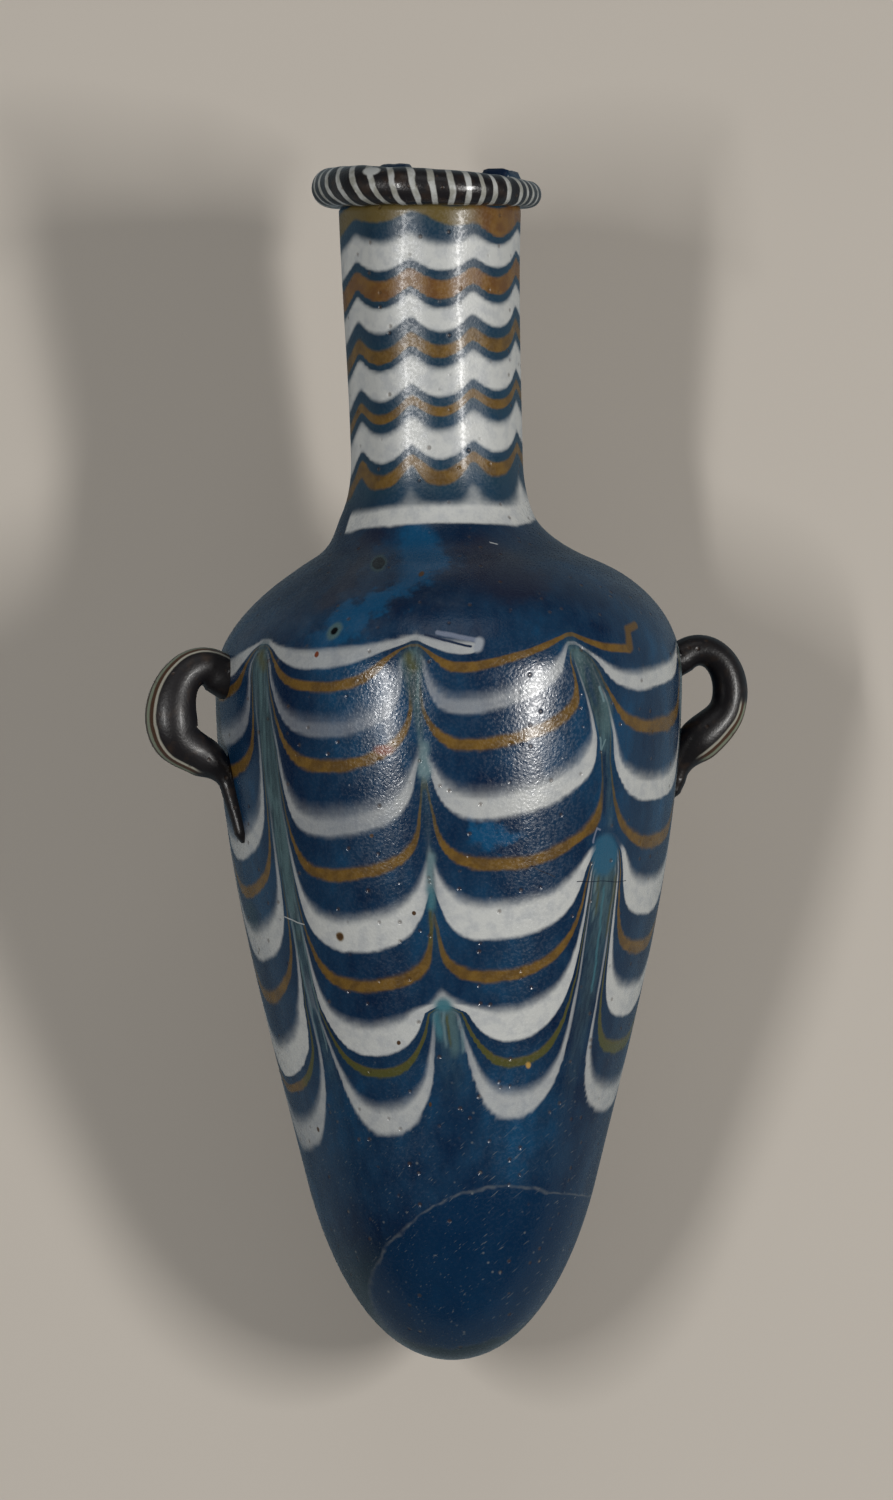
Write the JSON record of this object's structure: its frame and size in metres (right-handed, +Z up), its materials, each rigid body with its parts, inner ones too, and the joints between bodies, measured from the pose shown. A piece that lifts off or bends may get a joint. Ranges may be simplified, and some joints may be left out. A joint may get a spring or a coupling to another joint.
{
  "type": "amphoriskos",
  "caption": "Small hollow amphoriskos of core-formed blue glass with dragged festoons, loop handles at the shoulder and a twisted cord round the lip, lying on its back.",
  "frame": {"origin": "centre of the small worn flat on the vessel's back, on which it lies", "axes": "+Y from the base to the mouth, level, with the vessel's own axis raised about 8 degrees at the mouth; +Z up through the front; +X to the right of the front view"},
  "size_m": [0.0541, 0.1068, 0.0422],
  "materials": {
    "blue_glass": "satin, slightly pitted, with white, ochre and turquoise threads melted flush",
    "cord_glass": "satin black with a white spiral stripe",
    "black_glass": "satin black with a pale trail along the outer edge"
  },
  "bodies": {
    "root": {"body": "blue_glass", "rim_cord": "cord_glass", "handle_left": "black_glass", "handle_right": "black_glass"}
  },
  "joints": []
}
